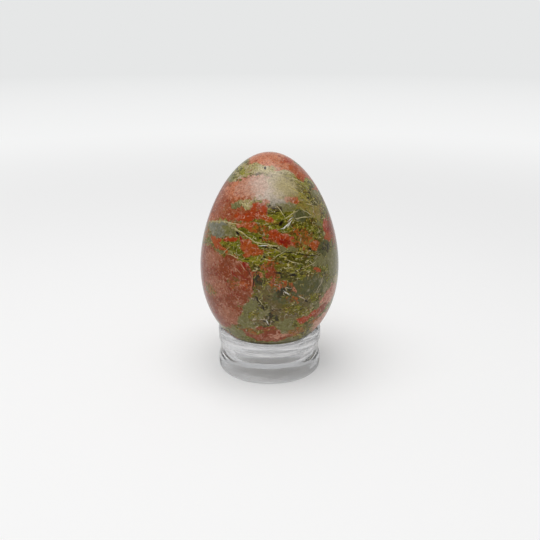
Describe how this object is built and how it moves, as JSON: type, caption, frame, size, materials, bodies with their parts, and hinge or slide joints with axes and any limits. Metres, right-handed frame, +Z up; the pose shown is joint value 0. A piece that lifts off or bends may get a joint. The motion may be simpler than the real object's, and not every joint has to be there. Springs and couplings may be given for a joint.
{
  "type": "stone egg on stand",
  "caption": "Polished stone egg standing pointed end up in the dished mouth of a short clear ring stand, from which it lifts off.",
  "frame": {"origin": "centre of the ring stand's underside, on the surface that it stands on", "axes": "+Z up along the axis that the ring and the egg share; the face of the egg seen in the picture looks towards -Y"},
  "size_m": [0.0334, 0.0334, 0.0532],
  "materials": {
    "clear_plastic": "gloss",
    "polished_stone": "polished"
  },
  "bodies": {
    "stand": {"ring_stand": "clear_plastic"},
    "egg": {"stone_egg": "polished_stone"}
  },
  "joints": [
    {"name": "egg_lift", "type": "slide", "parent": "stand", "child": "egg", "axis": [0, 0, 1], "range_m": [0, 0.02]}
  ]
}
